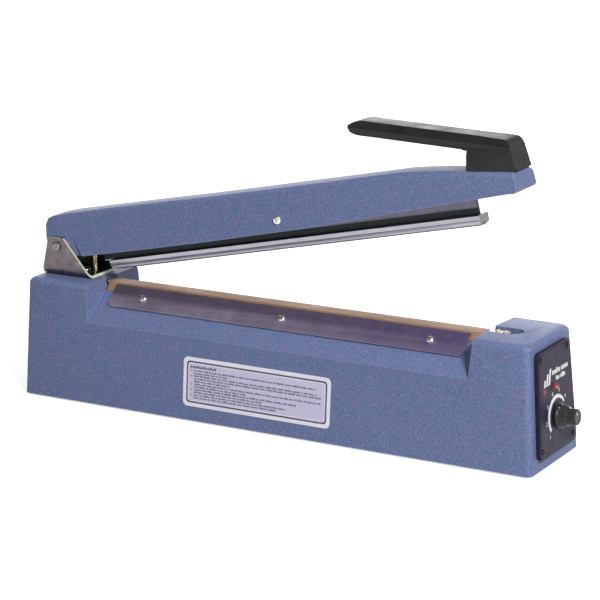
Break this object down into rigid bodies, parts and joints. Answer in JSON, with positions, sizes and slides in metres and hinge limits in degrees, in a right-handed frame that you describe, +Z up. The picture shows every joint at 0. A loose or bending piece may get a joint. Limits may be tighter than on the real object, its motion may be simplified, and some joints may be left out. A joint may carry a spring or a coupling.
{
  "type": "impulse heat sealer",
  "caption": "Hand-operated impulse bag sealer: long cast base with heating strip, timer knob at one end, and a hinged press arm with a raised black handle.",
  "frame": {"origin": "on the surface the feet stand on, under the middle of the machine's overall length and width", "axes": "+X along the machine towards the timer end, hinge at -X; +Y towards the rear; -Y is the side with the label; +Z up"},
  "size_m": [0.5518, 0.1012, 0.2869],
  "materials": {
    "blue_paint": "fine hammered powder coat, semi-gloss",
    "zinc_steel": "zinc-plated sheet, satin",
    "plate_steel": "dull grey-brown plated sheet",
    "black_steel": "black oxide, satin",
    "bright_steel": "nickel-plated, polished",
    "spring_steel": "oiled spring wire",
    "core_steel": "varnished laminations",
    "aluminium": "drawn extrusion with fine lines",
    "brass": "plain turned brass",
    "copper": "enamelled copper winding",
    "wire": "flat nickel-chrome ribbon",
    "black_plastic": "moulded, light sheen",
    "panel_plastic": "moulded, fine grain",
    "rubber": "matte",
    "silicone": "matte silicone",
    "release_cloth": "PTFE-coated glass cloth, slight sheen",
    "insulator": "woven insulating tape",
    "ceramic": "unglazed",
    "circuit_board": "solder mask",
    "red_lamp": "clear red lens",
    "label": "printed adhesive label"
  },
  "bodies": {
    "base": {"base_housing": "blue_paint", "bottom_plate": "zinc_steel", "rubber_foot_1": "rubber", "rubber_foot_2": "rubber", "rubber_foot_3": "rubber", "rubber_foot_4": "rubber", "foot_screw_1": "bright_steel", "foot_screw_2": "bright_steel", "foot_screw_3": "bright_steel", "foot_screw_4": "bright_steel", "insulating_strip": "insulator", "heating_wire": "wire", "release_cloth": "release_cloth", "front_clamp_plate": "plate_steel", "front_plate_screw_1": "bright_steel", "front_plate_screw_2": "bright_steel", "front_plate_screw_3": "bright_steel", "rear_clamp_plate": "plate_steel", "rear_plate_screw_1": "bright_steel", "rear_plate_screw_2": "bright_steel", "rear_plate_screw_3": "bright_steel", "hinge_end_insulator": "ceramic", "hinge_end_terminal": "brass", "control_end_insulator": "ceramic", "control_end_terminal": "brass", "hinge_bracket": "zinc_steel", "bracket_bolt_1": "bright_steel", "bracket_bolt_2": "bright_steel", "hinge_pin": "bright_steel", "return_spring": "spring_steel", "switch_bracket": "zinc_steel", "microswitch": "black_plastic", "microswitch_lever": "bright_steel", "transformer_core": "core_steel", "transformer_coil": "copper", "control_panel": "panel_plastic", "panel_screw_1": "black_steel", "panel_screw_2": "black_steel", "panel_screw_3": "black_steel", "panel_screw_4": "black_steel", "pilot_lamp": "red_lamp", "timer_potentiometer": "zinc_steel", "timer_board": "circuit_board", "timer_relay": "black_plastic", "instruction_label": "label", "mains_inlet_grommet": "rubber"},
    "arm": {"arm_casting": "blue_paint", "switch_striker": "zinc_steel", "press_bar_screw": "bright_steel", "press_bar_nut": "bright_steel", "front_spacer": "zinc_steel", "rear_spacer": "zinc_steel", "handle_grip": "black_plastic", "handle_screw_1": "bright_steel", "handle_screw_2": "bright_steel"},
    "press_bar": {"press_bar": "aluminium", "silicone_pad": "silicone"},
    "switch_rod": {"switch_push_rod": "brass"},
    "timer_knob": {"timer_knob": "black_plastic", "timer_shaft": "aluminium"}
  },
  "joints": [
    {"name": "arm_hinge", "type": "hinge", "parent": "base", "child": "arm", "pos_m": [-0.25257, 0, 0.141], "axis": [0, -1, 0], "range_deg": [-12.2, 0], "stiffness_Nm_per_rad": 6, "springref_deg": 31.51, "deforming": ["return_spring", "silicone_pad"]},
    {"name": "press_bar_rock", "type": "hinge", "parent": "arm", "child": "press_bar", "pos_m": [-0.00942, 0, 0.19183], "axis": [0, -1, 0], "range_deg": [-0.4, 0.4]},
    {"name": "switch_rod_slide", "type": "slide", "parent": "base", "child": "switch_rod", "axis": [0, 0, 1], "range_m": [-0.0066, 0]},
    {"name": "timer_knob_turn", "type": "hinge", "parent": "base", "child": "timer_knob", "pos_m": [0.25585, -0.0005, 0.0434], "axis": [0.9976, 0, 0.0689], "range_deg": [-165, 105]}
  ],
  "couplings": [
    {"joint": "switch_rod_slide", "follows": "arm_hinge", "m_per_rad": 0.0304}
  ]
}
